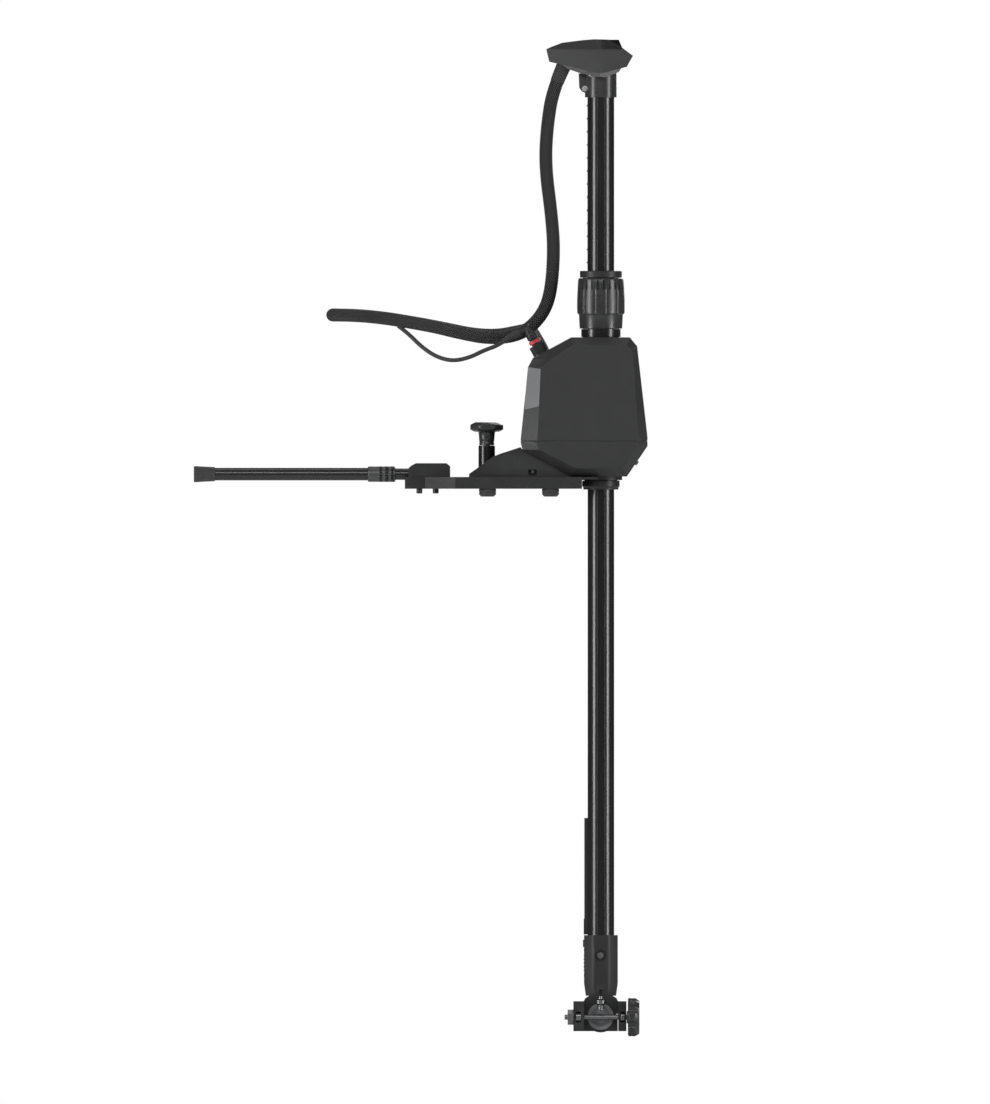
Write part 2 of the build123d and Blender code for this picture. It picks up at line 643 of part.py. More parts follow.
def pole_socket():
    body = ruled(socket_section(21.45, -556.8), socket_section(21.45, -617.9))
    body += ruled(socket_section(21.45, -617.9), socket_section(19.3, -633.8))
    body -= upright(POLE_X, 0, (-600, -556), POLE_R)
    body += box((POLE_X - 22.8, POLE_X - 20.5), (-4, 4), (-572, -562.6))
    body -= box((POLE_X - 23, POLE_X - 19.2), (-5.2, 5.2), (-604.2, -579.8))
    body -= rod((103.4, -22, -582.6), (103.4, -19.3, -582.6), 7.3)
    body -= rod((103.4, -22, -582.6), (103.4, -17, -582.6), 2.4)
    body -= upright(103.6, -19.8, (-635, -626), 2.2)
    for z in (-575.8, -608.2):
        body -= rod((80, -11, z), (86, -11, z), 1.4)
    return body


def socket_screws():
    screws = [screw((103.4, -19.3, -582.6), (0, -1, 0), 4.0, 1.8, 2.4, 1.9)]
    for z in (-575.8, -608.2):
        screws.append(screw((83.1, -11, z), (-1, 0, 0), 2.0, 0.8, 1.4, 2.5))
    return screws


def cable_grommet():
    left = POLE_X - 19.2
    body = box((left - 1.6, left), (-5, 5), (-604, -580))
    for k in range(5):
        body += box((left - 2.8, left - 1.5), (-4.4, 4.4), (-602.5 + 4.8 * k, -600.0 + 4.8 * k))
    return body


WASHER_R = 6.4                 # of the cross bolt's spacers, which show in a notch of each side
YOKE_NOTCH_X = (72.5, 78.5)
JAW_NOTCH_X = (129.6, 134.4)
NOTCH_Z = (CROSS_BOLT_Z - WASHER_R - 0.4, CROSS_BOLT_Z + WASHER_R + 0.4)


def clamp_yoke():
    shoulder = prism_y([(81, -657), (81, -643), (84, -637), (89, -633.8), (119, -633.8), (124, -637), (127, -643),
                        (127, -657)], (-21, 21))
    saddle = box((82.7, 125.4), (-21, 21), (-678.8, -663.8))
    ear = box((69, 82.7), (-33, 33), (-678.8, -640.7))
    yoke = shoulder + saddle + ear
    yoke -= rod((HUB_X, -23, HUB_Z), (HUB_X, 23, HUB_Z), HUB_R + 0.35)
    yoke -= rod((68, CROSS_BOLT_Y, CROSS_BOLT_Z), (84, CROSS_BOLT_Y, CROSS_BOLT_Z), CROSS_BOLT_R)
    yoke -= box(YOKE_NOTCH_X, (-34, CROSS_BOLT_Y + WASHER_R + 0.4), NOTCH_Z)
    yoke += box((82.7, 86), (-21, -17), (-664, -656.9)) + box((82.7, 86), (17, 21), (-664, -656.9))
    return yoke


def yoke_screw():
    y = -28.2
    return turned([(0, -652), (3.8, -652), (3.8, -646), (6.35, -644), (6.35, -639.5), (3.2, -638), (2.4, -634.4),
                   (0, -634.4)], 103.6, y) + box((100.6, 106.6), (-28.2, -21), (-643, -640))


def cross_bolt():
    bolt = rod((57.8, CROSS_BOLT_Y, CROSS_BOLT_Z), (148, CROSS_BOLT_Y, CROSS_BOLT_Z), CROSS_BOLT_R)
    nut = Plane(origin=(61.7, CROSS_BOLT_Y, CROSS_BOLT_Z), z_dir=(1, 0, 0)) * RegularPolygon(9.8, 6)
    spacer = rod((YOKE_NOTCH_X[0], CROSS_BOLT_Y, CROSS_BOLT_Z), (YOKE_NOTCH_X[1], CROSS_BOLT_Y, CROSS_BOLT_Z), WASHER_R)
    return bolt + extrude(nut, 7.3) + spacer


def clamp_jaw():
    jaw = box((126.0, 136.4), (-33, 33), (-678.8, -640.7))
    jaw -= box((125, 127.4), (-22, 22), (-660, -640))
    jaw += box((121.4, 126.5), (-16, 16), (-663.4, -657.4))
    jaw -= box(JAW_NOTCH_X, (-34, CROSS_BOLT_Y + WASHER_R / 2), NOTCH_Z)
    jaw += rod((JAW_NOTCH_X[0], CROSS_BOLT_Y, CROSS_BOLT_Z), (JAW_NOTCH_X[1], CROSS_BOLT_Y, CROSS_BOLT_Z), WASHER_R)
    jaw -= rod((120, CROSS_BOLT_Y, CROSS_BOLT_Z), (140, CROSS_BOLT_Y, CROSS_BOLT_Z), CROSS_BOLT_R + RUNNING)
    return jaw


def star_knob():
    start, end = (136.8, CROSS_BOLT_Y, CROSS_BOLT_Z), (138.2, CROSS_BOLT_Y, CROSS_BOLT_Z)
    knob = rod(end, (153, CROSS_BOLT_Y, CROSS_BOLT_Z), 24.45)
    knob = chamfer(knob.edges().filter_by(GeomType.CIRCLE).sort_by(Axis.X)[-1], 3.0)
    for k in range(8):
        turn = radians(45 * k + 22.5)
        y, z = CROSS_BOLT_Y + 27.5 * sin(turn), CROSS_BOLT_Z + 27.5 * cos(turn)
        knob -= rod((137, y, z), (154, y, z), 5.6)
    knob += rod(start, end, 8.0)
    return knob - rod((136, CROSS_BOLT_Y, CROSS_BOLT_Z), (148.5, CROSS_BOLT_Y, CROSS_BOLT_Z), CROSS_BOLT_R + RUNNING)


def tilt_hub():
    hub = rod((HUB_X, -21.5, HUB_Z), (HUB_X, 24, HUB_Z), HUB_R)
    hub += rod((HUB_X, 21.5, HUB_Z), (HUB_X, 26, HUB_Z), 20.0)
    hub -= rod((HUB_X, -22, HUB_Z), (HUB_X, -20.3, HUB_Z), 12.0)
    hub += rod((HUB_X, -21.3, HUB_Z), (HUB_X, -20, HUB_Z), 7.0)
    return hub - rod((HUB_X, -4, HUB_Z), (HUB_X, 27, HUB_Z), 4.2)


# ---------------------------------------------------------------- all nodes
def make_base():
    save("base_plate", base_plate())
    save("mount_feet", *mount_feet())
    save("arm_block", arm_block())
    save("arm_studs", *arm_studs())
    save("arm_inner_tube", tube_x((-370, -95), INNER_TUBE_R, 5.6))
    save("mount_bracket", mount_bracket())
    save("bracket_screws", *bracket_screws(), *web_screws())
    save("lock_bush", ring(KNOB_X, 0, PLATE_Z, 8.0, PIN_R + RUNNING))
    save("plunger_barrel", plunger_barrel())


def make_drive():
    shell = housing_shell()
    save("upper_cover", upper_cover(shell))
    save("lower_cover", lower_cover(shell))
    save("cover_gasket", cover_gasket())
    save("cover_screws", *cover_screws())
    save("chassis", chassis())
    save("upper_bush", ring(POLE_X, 0, (178, 194), BUSH_R, BUSH_BORE_R))
    save("lower_bush", ring(POLE_X, 0, (34, 56), BUSH_R, BUSH_BORE_R))
    save("shaft_seals", *shaft_seals())
    save("motor_gearbox", motor_gearbox())
    save("drive_motor", drive_motor())
    save("control_board", control_board())
    save("power_socket", power_socket())
    save("drive_pinion", drive_pinion())


def make_steering():
    save("steering_tube", steering_tube())
    save("steering_gear", steering_gear())
    save("pole_collet", pole_collet())
    save("collet_cap", collet_cap())
    save("lower_ring", lower_ring())
    save("depth_collar", depth_collar())


def make_cords():
    save("elbow_plug", elbow_plug())
    save("plug_ring", plug_ring())
    save("power_lead", cord_tube(LEAD_ROUTE, LEAD_R, "power_lead"))
    save("loom_lower", cord_tube(LOOM_LOWER_ROUTE, LOOM_R, "loom_lower"))
    save("loom_coil", loom_coil())
    save("loom_strap", loom_strap())
    save("loom_connector", loom_connector())


def make_movers():
    save("release_knob", release_knob())
    save("release_pin", release_pin())
    save("release_spring", release_spring())
    save("arm_outer_tube", tube_x((-405, -178), OUTER_TUBE_R, INNER_TUBE_R + RUNNING))
    save("arm_foot", arm_foot())
    save("arm_lock_collar", arm_lock_collar())


def make_pole():
    save("pole", grooved_pole())
    save("depth_strip", depth_strip())
    save("cable_cover", cable_cover())
    save("head_cover", head_cover())
    save("head_cap", head_cap())
    save("head_base", head_base())
    save("head_screw", head_screw())
    save("head_board", head_board())
    save("loom_gland", loom_gland())
    save("loom_upper", loom_upper())
    save("pole_socket", pole_socket())
    save("socket_screws", *socket_screws())
    save("cable_grommet", cable_grommet())
    save("clamp_yoke", clamp_yoke())
    save("yoke_screw", yoke_screw())
    save("cross_bolt", cross_bolt())
    save("clamp_jaw", clamp_jaw())
    save("star_knob", star_knob())
    save("tilt_hub", tilt_hub())


os.makedirs("parts", exist_ok=True)
make_base()
make_drive()
make_steering()
make_cords()
make_movers()
make_pole()
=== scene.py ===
import math

import bpy
import bmesh
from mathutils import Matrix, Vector


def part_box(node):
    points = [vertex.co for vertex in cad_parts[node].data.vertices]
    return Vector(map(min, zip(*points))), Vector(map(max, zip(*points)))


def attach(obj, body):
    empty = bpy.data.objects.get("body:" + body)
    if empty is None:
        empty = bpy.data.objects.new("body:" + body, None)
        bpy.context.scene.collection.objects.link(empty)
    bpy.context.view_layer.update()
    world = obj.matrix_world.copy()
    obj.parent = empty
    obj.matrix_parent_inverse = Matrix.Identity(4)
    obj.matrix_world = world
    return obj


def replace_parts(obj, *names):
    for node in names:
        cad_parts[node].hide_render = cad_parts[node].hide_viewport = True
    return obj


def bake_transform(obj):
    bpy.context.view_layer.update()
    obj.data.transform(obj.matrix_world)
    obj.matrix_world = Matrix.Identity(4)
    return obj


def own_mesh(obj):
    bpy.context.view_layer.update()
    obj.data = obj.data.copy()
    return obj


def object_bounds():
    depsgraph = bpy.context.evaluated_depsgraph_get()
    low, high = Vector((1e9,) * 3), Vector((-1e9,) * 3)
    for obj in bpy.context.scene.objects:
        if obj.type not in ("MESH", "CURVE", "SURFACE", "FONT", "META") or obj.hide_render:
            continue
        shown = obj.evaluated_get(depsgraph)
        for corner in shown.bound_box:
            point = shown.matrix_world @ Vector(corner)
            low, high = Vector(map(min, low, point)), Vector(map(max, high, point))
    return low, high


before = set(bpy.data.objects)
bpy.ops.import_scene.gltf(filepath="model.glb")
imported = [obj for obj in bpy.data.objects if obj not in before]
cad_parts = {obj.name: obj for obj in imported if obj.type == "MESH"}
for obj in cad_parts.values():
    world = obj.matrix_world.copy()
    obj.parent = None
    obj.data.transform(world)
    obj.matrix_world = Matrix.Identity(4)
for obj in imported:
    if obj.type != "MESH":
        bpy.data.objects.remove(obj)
cad_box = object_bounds()

# ---------------------------------------------------------------- places, in metres, from the frame
MM = 0.001
LOW, HIGH = cad_box
POLE_LOW, POLE_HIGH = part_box("pole")
POLE_X = (POLE_LOW.x + POLE_HIGH.x) / 2
KNOB_X = sum(corner.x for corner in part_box("release_pin")) / 2
FOOT_LOW, FOOT_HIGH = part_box("mount_feet")
ARM_Z = sum(corner.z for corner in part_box("arm_inner_tube")) / 2

CLAMP_Y, CLAMP_Z = -0.0275, -0.661      # the clamp's cross bolt

# the loom's route: head, past the elbow plug, out over the deck, back and down to its coil
LOOM_UPPER_ROUTE = [(0.0586, 0.0, 0.5509), (0.0435, 0.0, 0.519), (0.0355, 0.001, 0.470), (0.0332, 0.003, 0.420),
                    (0.0415, 0.006, 0.356), (0.0445, 0.009, 0.312), (0.04264, 0.01096, 0.2865)]
LOOM_LOWER_ROUTE = [(0.0426, 0.011, 0.286), (0.0405, 0.013, 0.257), (0.028, 0.017, 0.228), (0.003, 0.020, 0.2055),
                    (-0.036, 0.020, 0.2005), (-0.076, 0.020, 0.208), (-0.113, 0.020, 0.2175),
                    (-0.190, 0.022, 0.230), (-0.252, 0.130, 0.231), (-0.190, 0.238, 0.230),
                    (-0.113, 0.240, 0.2175), (-0.040, 0.239, 0.202), (0.011, 0.190, 0.212),
                    (0.015, 0.118, 0.213), (0.039, 0.067, 0.170), (0.040, 0.0635, 0.098)]
LEAD_ROUTE = [(0.0002, 0.0, 0.2080), (-0.011, -0.001, 0.203), (-0.027, -0.002, 0.192), (-0.044, -0.001, 0.186),
              (-0.063, 0.002, 0.1765), (-0.085, 0.006, 0.172), (-0.106, 0.011, 0.178), (-0.124, 0.016, 0.1905),
              (-0.141, 0.019, 0.2075), (-0.1535, 0.020, 0.217)]
LOOM_R = 0.00825
LEAD_R = 0.00265
COIL_X = 0.040                          # the coil's plane
COIL_RADII = (0.0825, 0.066)            # of its outer and its inner turn
COIL_CENTRE = (0.146, 0.09075)          # Y, Z
COIL_STEPS = 16                         # control points a turn
COIL_SHIFT = (math.radians(200), math.radians(340))   # where the outer turn closes in to the inner one
COIL_END = math.radians(495)
COIL_TAIL = [(0.040, 0.2035, 0.066), (0.040, 0.2060, 0.080), (0.040, 0.2030, 0.092), (0.040, 0.1970, 0.100)]
PLUG_AXIS = (0.0, -0.6, 0.8)            # the way the loom's plug points


# ---------------------------------------------------------------- camera, light and stage
def make_camera():
    """Straight on, without perspective, as far along the arm and as high as the picture's middle is."""
    data = bpy.data.cameras.new("camera")
    data.type = "ORTHO"
    data.ortho_scale = 1.402
    camera = bpy.data.objects.new("camera", data)
    bpy.context.collection.objects.link(camera)
    camera.location = (POLE_X - 0.1345, -3.0, (LOW.z + HIGH.z) / 2 - 0.018)
    camera.rotation_euler = (math.radians(90), 0, 0)
    bpy.context.scene.camera = camera


def area_light(name, place, aim, size, power):
    """A soft box at place, turned to face aim."""
    data = bpy.data.lights.new(name, "AREA")
    data.shape = "RECTANGLE"
    data.size, data.size_y = size
    data.energy = power
    light = bpy.data.objects.new(name, data)
    bpy.context.collection.objects.link(light)
    light.location = place
    light.rotation_euler = (Vector(aim) - Vector(place)).to_track_quat("-Z", "Y").to_euler()


def make_light():
    """Tall soft boxes on both sides in front, one above, one behind, and a white surround."""
    bpy.context.scene.view_settings.view_transform = "Standard"
    level = (LOW.z + HIGH.z) / 2 + 0.25
    area_light("left", (POLE_X - 1.9, -1.1, level), (POLE_X, 0, level), (0.40, 2.1), 34)
    area_light("right", (POLE_X + 1.9, -1.1, level), (POLE_X, 0, level), (0.40, 2.1), 32)
    area_light("front", (POLE_X - 0.3, -2.4, level + 1.15), (POLE_X - 0.1, 0, level - 0.1), (2.2, 0.5), 20)
    area_light("top", (0.0, 0.3, 2.2), (0, 0, 0.1), (1.4, 1.0), 8)
    area_light("back", (0.6, 2.3, 1.2), (0, 0, 0), (1.4, 2.0), 26)
    world = bpy.data.worlds.new("surround")
    world.use_nodes = True
    bpy.context.scene.world = world
    tree = world.node_tree
    shown = tree.nodes.new("ShaderNodeLightPath")
    seen = tree.nodes["Background"]
    seen.inputs["Color"].default_value = (1, 1, 1, 1)
    seen.inputs["Strength"].default_value = 1.0
    lighting = tree.nodes.new("ShaderNodeBackground")
    lighting.inputs["Color"].default_value = (0.97, 0.98, 1.0, 1)
    lighting.inputs["Strength"].default_value = 0.10
    mix = tree.nodes.new("ShaderNodeMixShader")
    tree.links.new(shown.outputs["Is Camera Ray"], mix.inputs[0])
    tree.links.new(lighting.outputs[0], mix.inputs[1])
    tree.links.new(seen.outputs[0], mix.inputs[2])
    tree.links.new(mix.outputs[0], tree.nodes["World Output"].inputs[0])


def make_floor():
    """A pale floor under the lowest point, brightened for the camera so that it fades into the surround."""
    half, height = 40.0, LOW.z - 0.002
    mesh = bpy.data.meshes.new("floor")
    mesh.from_pydata([(-half, -half, height), (half, -half, height), (half, half, height), (-half, half, height)],
                     [], [(0, 1, 2, 3)])
    floor = bpy.data.objects.new("floor", mesh)
    bpy.context.collection.objects.link(floor)
    paper = moulded("pale_floor", 0.80, 0.84, 0.7, 30.0, 0.0)
    paper.node_tree.nodes["Principled BSDF"].inputs["Emission Color"].default_value = (1, 1, 1, 1)
    shown = paper.node_tree.nodes.new("ShaderNodeLightPath")
    glow = arithmetic(paper.node_tree, "MULTIPLY", shown.outputs["Is Camera Ray"], 0.5)
    paper.node_tree.links.new(glow, paper.node_tree.nodes["Principled BSDF"].inputs["Emission Strength"])
    floor.data.materials.append(paper)


# ---------------------------------------------------------------- materials
def grey(value, tint=(1.0, 1.0, 1.0)):
    """An opaque grey, tinted."""
    return tuple(value * t for t in tint) + (1.0,)


def start_material(name, roughness, metallic=0.0):
    """A material, its tree and its main shader."""
    material = bpy.data.materials.new(name)
    material.use_nodes = True
    tree = material.node_tree
    shader = tree.nodes["Principled BSDF"]
    shader.inputs["Metallic"].default_value = metallic
    shader.inputs["Roughness"].default_value = roughness
    return material, tree, shader


def noise(tree, scale, stretch=(1, 1, 1), detail=4.0):
    """Noise in the object's own metres, finer as scale grows."""
    place = tree.nodes.new("ShaderNodeTexCoord")
    mapping = tree.nodes.new("ShaderNodeMapping")
    mapping.inputs["Scale"].default_value = stretch
    texture = tree.nodes.new("ShaderNodeTexNoise")
    texture.inputs["Scale"].default_value = scale
    texture.inputs["Detail"].default_value = detail
    tree.links.new(place.outputs["Object"], mapping.inputs["Vector"])
    tree.links.new(mapping.outputs["Vector"], texture.inputs["Vector"])
    return texture.outputs["Fac"]


def spread(tree, value, low, high):
    """A value from 0 to 1 stretched to run from low to high."""
    scale = tree.nodes.new("ShaderNodeMapRange")
    scale.inputs["To Min"].default_value = low
    scale.inputs["To Max"].default_value = high
    tree.links.new(value, scale.inputs["Value"])
    return scale.outputs["Result"]


def blend_colours(tree, amount, first, second):
    """A mix of two colours, each a tuple or another node's output."""
    mix = tree.nodes.new("ShaderNodeMix")
    mix.data_type = "RGBA"
    tree.links.new(amount, mix.inputs["Factor"])
    for socket, colour in ((mix.inputs[6], first), (mix.inputs[7], second)):
        if isinstance(colour, tuple):
            socket.default_value = colour
        else:
            tree.links.new(colour, socket)
    return mix.outputs[2]


def relief(tree, shader, height, strength, distance):
    """Raises the surface's shading by a height from 0 to 1."""
    bump = tree.nodes.new("ShaderNodeBump")
    bump.inputs["Strength"].default_value = strength
    bump.inputs["Distance"].default_value = distance
    tree.links.new(height, bump.inputs["Height"])
    tree.links.new(bump.outputs["Normal"], shader.inputs["Normal"])


def edge_wear(tree, colour, worn):
    """The colour, with convex edges rubbed paler."""
    geometry = tree.nodes.new("ShaderNodeNewGeometry")
    edge = tree.nodes.new("ShaderNodeMapRange")
    edge.inputs["From Min"].default_value = 0.52
    edge.inputs["From Max"].default_value = 0.62
    edge.inputs["To Max"].default_value = 0.6
    tree.links.new(geometry.outputs["Pointiness"], edge.inputs["Value"])
    return blend_colours(tree, edge.outputs["Result"], colour, worn)


def moulded(name, dark, light, roughness, cloud=60.0, grain=0.25, tint=(1.0, 1.01, 1.03), wear=1.9, gloss=0.5):
    """Moulded plastic: a fine spark-eroded grain, faint clouding, and slightly polished edges."""
    material, tree, shader = start_material(name, roughness)
    shader.inputs["Specular IOR Level"].default_value = gloss
    patches = noise(tree, cloud, detail=3.0)
    colour = blend_colours(tree, patches, grey(dark, tint), grey(light, tint))
    if grain:
        colour = edge_wear(tree, colour, grey(light * wear, tint))
        relief(tree, shader, noise(tree, 2600.0, detail=2.0), grain, 0.0002)
    tree.links.new(colour, shader.inputs["Base Color"])
    tree.links.new(spread(tree, patches, roughness - 0.06, roughness + 0.08), shader.inputs["Roughness"])
    return material


def metal(name, dark, light, roughness, stretch, tint=(1.0, 1.0, 1.0), metallic=1.0, lines=0.25):
    """Drawn or brushed metal with fine lines along one direction."""
    material, tree, shader = start_material(name, roughness, metallic)
    brushed = noise(tree, 900.0, stretch, 3.0)
    colour = blend_colours(tree, brushed, grey(dark, tint), grey(light, tint))
    tree.links.new(edge_wear(tree, colour, grey(light * 1.5, tint)), shader.inputs["Base Color"])
    tree.links.new(spread(tree, brushed, roughness - 0.07, roughness + 0.1), shader.inputs["Roughness"])
    relief(tree, shader, brushed, lines, 0.0001)
    return material


def soft_rubber(name, dark, light, roughness):
    """Rubber: a matt skin with dust in its pores."""
    material, tree, shader = start_material(name, roughness)
    shader.inputs["Sheen Weight"].default_value = 0.12
    pores = noise(tree, 1400.0, detail=5.0)
    dust = blend_colours(tree, noise(tree, 90.0), grey(dark), grey(light))
    tree.links.new(dust, shader.inputs["Base Color"])
    tree.links.new(spread(tree, pores, roughness - 0.1, roughness + 0.1), shader.inputs["Roughness"])
    relief(tree, shader, pores, 0.4, 0.0002)
    return material


def arithmetic(tree, kind, first, second=None):
    """One step of arithmetic on numbers or node outputs."""
    node = tree.nodes.new("ShaderNodeMath")
    node.operation = kind
    for socket, value in zip(node.inputs, (first, second)):
        if value is None:
            continue
        if isinstance(value, (int, float)):
            socket.default_value = value
        else:
            tree.links.new(value, socket)
    return node.outputs[0]


def braid(name, dark, light, strands, pitch):
    """A braided sleeve on a tube whose UV is metres along and turns around; its colour carries a painted highlight on
    each strand's crown.
    """
    material, tree, shader = start_material(name, 0.55)
    shader.inputs["Specular IOR Level"].default_value = 0.3
    lay = tree.nodes.new("ShaderNodeUVMap")
    lay.uv_map = "lay"
    parts = tree.nodes.new("ShaderNodeSeparateXYZ")
    tree.links.new(lay.outputs["UV"], parts.inputs[0])
    along = arithmetic(tree, "DIVIDE", parts.outputs["X"], pitch)
    around = arithmetic(tree, "MULTIPLY", parts.outputs["Y"], strands)
    waves = []
    for kind in ("ADD", "SUBTRACT"):
        phase = arithmetic(tree, "MULTIPLY", arithmetic(tree, kind, around, along), math.pi)
        waves.append(arithmetic(tree, "ABSOLUTE", arithmetic(tree, "SINE", phase)))
    thread = arithmetic(tree, "MULTIPLY", *waves)
    fine = noise(tree, 2400.0, detail=2.0)
    # painted highlight: each strand's crown is coloured paler, with painted glints from the fine noise; the grooves
    # keep the sleeve's own black
    painted_crown_highlight = arithmetic(tree, "MULTIPLY", arithmetic(tree, "POWER", thread, 2.2), spread(tree, fine, 0.6, 1.2))
    tree.links.new(blend_colours(tree, painted_crown_highlight, grey(dark), grey(light)), shader.inputs["Base Color"])
    relief(tree, shader, thread, 1.0, 0.0011)
    return material


def webbing(name, dark, light):
    """Woven strap: a fine over-and-under weave."""
    material, tree, shader = start_material(name, 0.8)
    shader.inputs["Sheen Weight"].default_value = 0.4
    place = tree.nodes.new("ShaderNodeTexCoord")
    parts = tree.nodes.new("ShaderNodeSeparateXYZ")
    tree.links.new(place.outputs["Object"], parts.inputs[0])
    across = arithmetic(tree, "SINE", arithmetic(tree, "MULTIPLY", parts.outputs["X"], 7000.0))
    upward = arithmetic(tree, "SINE", arithmetic(tree, "MULTIPLY", parts.outputs["Z"], 5200.0))
    weave = spread(tree, arithmetic(tree, "MULTIPLY", across, upward), 0.2, 0.9)
    tree.links.new(blend_colours(tree, weave, grey(dark), grey(light)), shader.inputs["Base Color"])
    relief(tree, shader, weave, 0.5, 0.0004)
    return material


def make_materials():
    """Every finish by its short name."""
    upright = (1, 1, 0.02)
    level = (0.004, 0.12, 0.12)
    return {
        "housing": moulded("housing_plastic", 0.024, 0.029, 0.44, 40.0, 0.35, gloss=0.34),
        "head": moulded("head_plastic", 0.018, 0.023, 0.40, 40.0, 0.25, gloss=0.20),
        "lock": moulded("grey_collar", 0.045, 0.055, 0.36, 60.0, 0.2),
        "trim": moulded("black_trim", 0.005, 0.008, 0.45, 60.0, 0.1, gloss=0.15),
        "panel": moulded("pale_panel", 0.105, 0.120, 0.5, 40.0, 0.3, wear=1.4),
        "moulded": moulded("dark_plastic", 0.016, 0.023, 0.40, 70.0, 0.2, gloss=0.34),
        "grip": moulded("grip_plastic", 0.024, 0.032, 0.28, 90.0, 0.1),
        "pole": metal("black_anodised", 0.040, 0.052, 0.22, upright, metallic=0.8, lines=0.05),
        "arm": metal("black_anodised_arm", 0.044, 0.054, 0.24, level, metallic=0.8, lines=0.02),
        "steel": metal("stainless", 0.42, 0.58, 0.30, (1, 0.2, 1)),
        "dark_steel": metal("blackened_steel", 0.16, 0.26, 0.30, (1, 1, 0.3)),
        "casting": metal("cast_aluminium", 0.38, 0.48, 0.5, (0.4, 0.4, 0.4), lines=0.5),
        "bronze": metal("bronze", 0.42, 0.52, 0.36, (1, 1, 0.2), (1.0, 0.74, 0.42)),
        "rubber": soft_rubber("black_rubber", 0.016, 0.030, 0.75),
        "jacket": soft_rubber("lead_jacket", 0.014, 0.024, 0.55),
        "hub": moulded("grey_hub", 0.15, 0.18, 0.4, 60.0, 0.2),
        "nylon": moulded("nylon", 0.05, 0.065, 0.5, 50.0, 0.2),
        "red": moulded("red_ring", 0.50, 0.58, 0.3, 80.0, 0.1, (1.0, 0.075, 0.09), 1.1),
        "board": moulded("circuit_board", 0.10, 0.16, 0.4, 300.0, 0.1, (0.2, 1.0, 0.4), 1.2),
        # the loom's 0.13 grey is the colour of its painted strand highlights
        "loom": braid("braided_sleeve", 0.004, 0.13, LOOM_STRANDS, LOOM_PITCH),
        "strap": webbing("webbing", 0.015, 0.05),
    }


# ---------------------------------------------------------------- mesh helpers
SHARP = math.radians(42)


def add_mesh(name, verts, faces, material, uv=None):
    """A new piece from metres. Faces are smooth, and edges sharper than SHARP stay crisp."""
    mesh = bpy.data.meshes.new(name)
    mesh.from_pydata([tuple(v) for v in verts], [], faces)
    if uv:
        layer = mesh.uv_layers.new(name="lay")
        for loop, place in zip(layer.data, uv):
            loop.uv = place
    tidy = bmesh.new()
    tidy.from_mesh(mesh)
    if not uv:
        bmesh.ops.remove_doubles(tidy, verts=tidy.verts, dist=1e-7)
    bmesh.ops.recalc_face_normals(tidy, faces=tidy.faces)
    for face in tidy.faces:
        face.smooth = True
    for edge in tidy.edges:
        edge.smooth = not (edge.is_manifold and edge.calc_face_angle() > SHARP)
    tidy.to_mesh(mesh)
    tidy.free()
    piece = bpy.data.objects.new(name, mesh)
    bpy.context.collection.objects.link(piece)
    piece.data.materials.append(material)
    return piece


def soften(profile, amount, steps=4):
    """A profile in millimetres with each inner corner rounded."""
    result = [profile[0]]
    for before, here, after in zip(profile, profile[1:], profile[2:]):
        corner = Vector(here)
        arms = []
        for other in (before, after):
            away = Vector(other) - corner
            arms.append(corner + away.normalized() * min(amount, away.length * 0.45))
        for k in range(steps + 1):
            t = k / steps
            result.append(tuple(arms[0] * (1 - t) ** 2 + corner * 2 * t * (1 - t) + arms[1] * t**2))
    return result + [profile[-1]]


def scallops(count, centre_r, cut_r, phase=0.0):
    """A radius limit with round notches: count of them, cut_r wide, their middles centre_r out."""
    def limit(angle):
        step = 2 * math.pi / count
        off = (angle - phase + step / 2) % step - step / 2
        side = centre_r * math.sin(off)
        if abs(side) >= cut_r:
            return math.inf
        return centre_r * math.cos(off) - math.sqrt(cut_r**2 - side**2)
    return limit


def frame_along(axis):
    """Two directions square to an axis."""
    axis = Vector(axis).normalized()
    helper = Vector((0, 0, 1)) if abs(axis.z) < 0.9 else Vector((1, 0, 0))
    first = helper.cross(axis).normalized()
    return first, axis.cross(first), axis


def lathe(name, origin, axis, profile, material, around=96, limit=None):
    """A turned piece. profile is (radius, height) in millimetres from origin along axis; limit trims the radius."""
    first, second, up = frame_along(axis)
    verts, faces = [], []
    for radius, height in profile:
        for k in range(around):
            angle = 2 * math.pi * k / around
            r = radius
            if limit is not None:
                r = min(radius, limit(angle, height))
            side = first * math.cos(angle) + second * math.sin(angle)
            verts.append(Vector(origin) + (side * r + up * height) * MM)
    for i in range(len(profile) - 1):
        for k in range(around):
            n = (k + 1) % around
            a, b = i * around, (i + 1) * around
            faces.append((a + k, a + n, b + n, b + k))
    if profile[0] == profile[-1]:
        return add_mesh(name, verts, faces, material)
    faces.append(tuple(reversed(range(around))))
    faces.append(tuple(range((len(profile) - 1) * around, len(profile) * around)))
    return add_mesh(name, verts, faces, material)


def route_line(route):
    """The smooth NURBS line that has the route's points as its control points, as a list of points."""
    data = bpy.data.curves.new("route", "CURVE")
    data.dimensions = "3D"
    spline = data.splines.new("NURBS")
    spline.points.add(len(route) - 1)
    for point, place in zip(spline.points, route):
        point.co = (*place, 1.0)
    spline.order_u = 3
    spline.use_endpoint_u = True
    spline.resolution_u = 24
    holder = bpy.data.objects.new("route", data)
    line = bpy.data.meshes.new_from_object(holder)
    points = [v.co.copy() for v in line.vertices]
    bpy.data.objects.remove(holder)
    bpy.data.curves.remove(data)
    bpy.data.meshes.remove(line)
    return points


def length_of(points):
    """The length of a line of points."""
    return sum((b - a).length for a, b in zip(points, points[1:]))


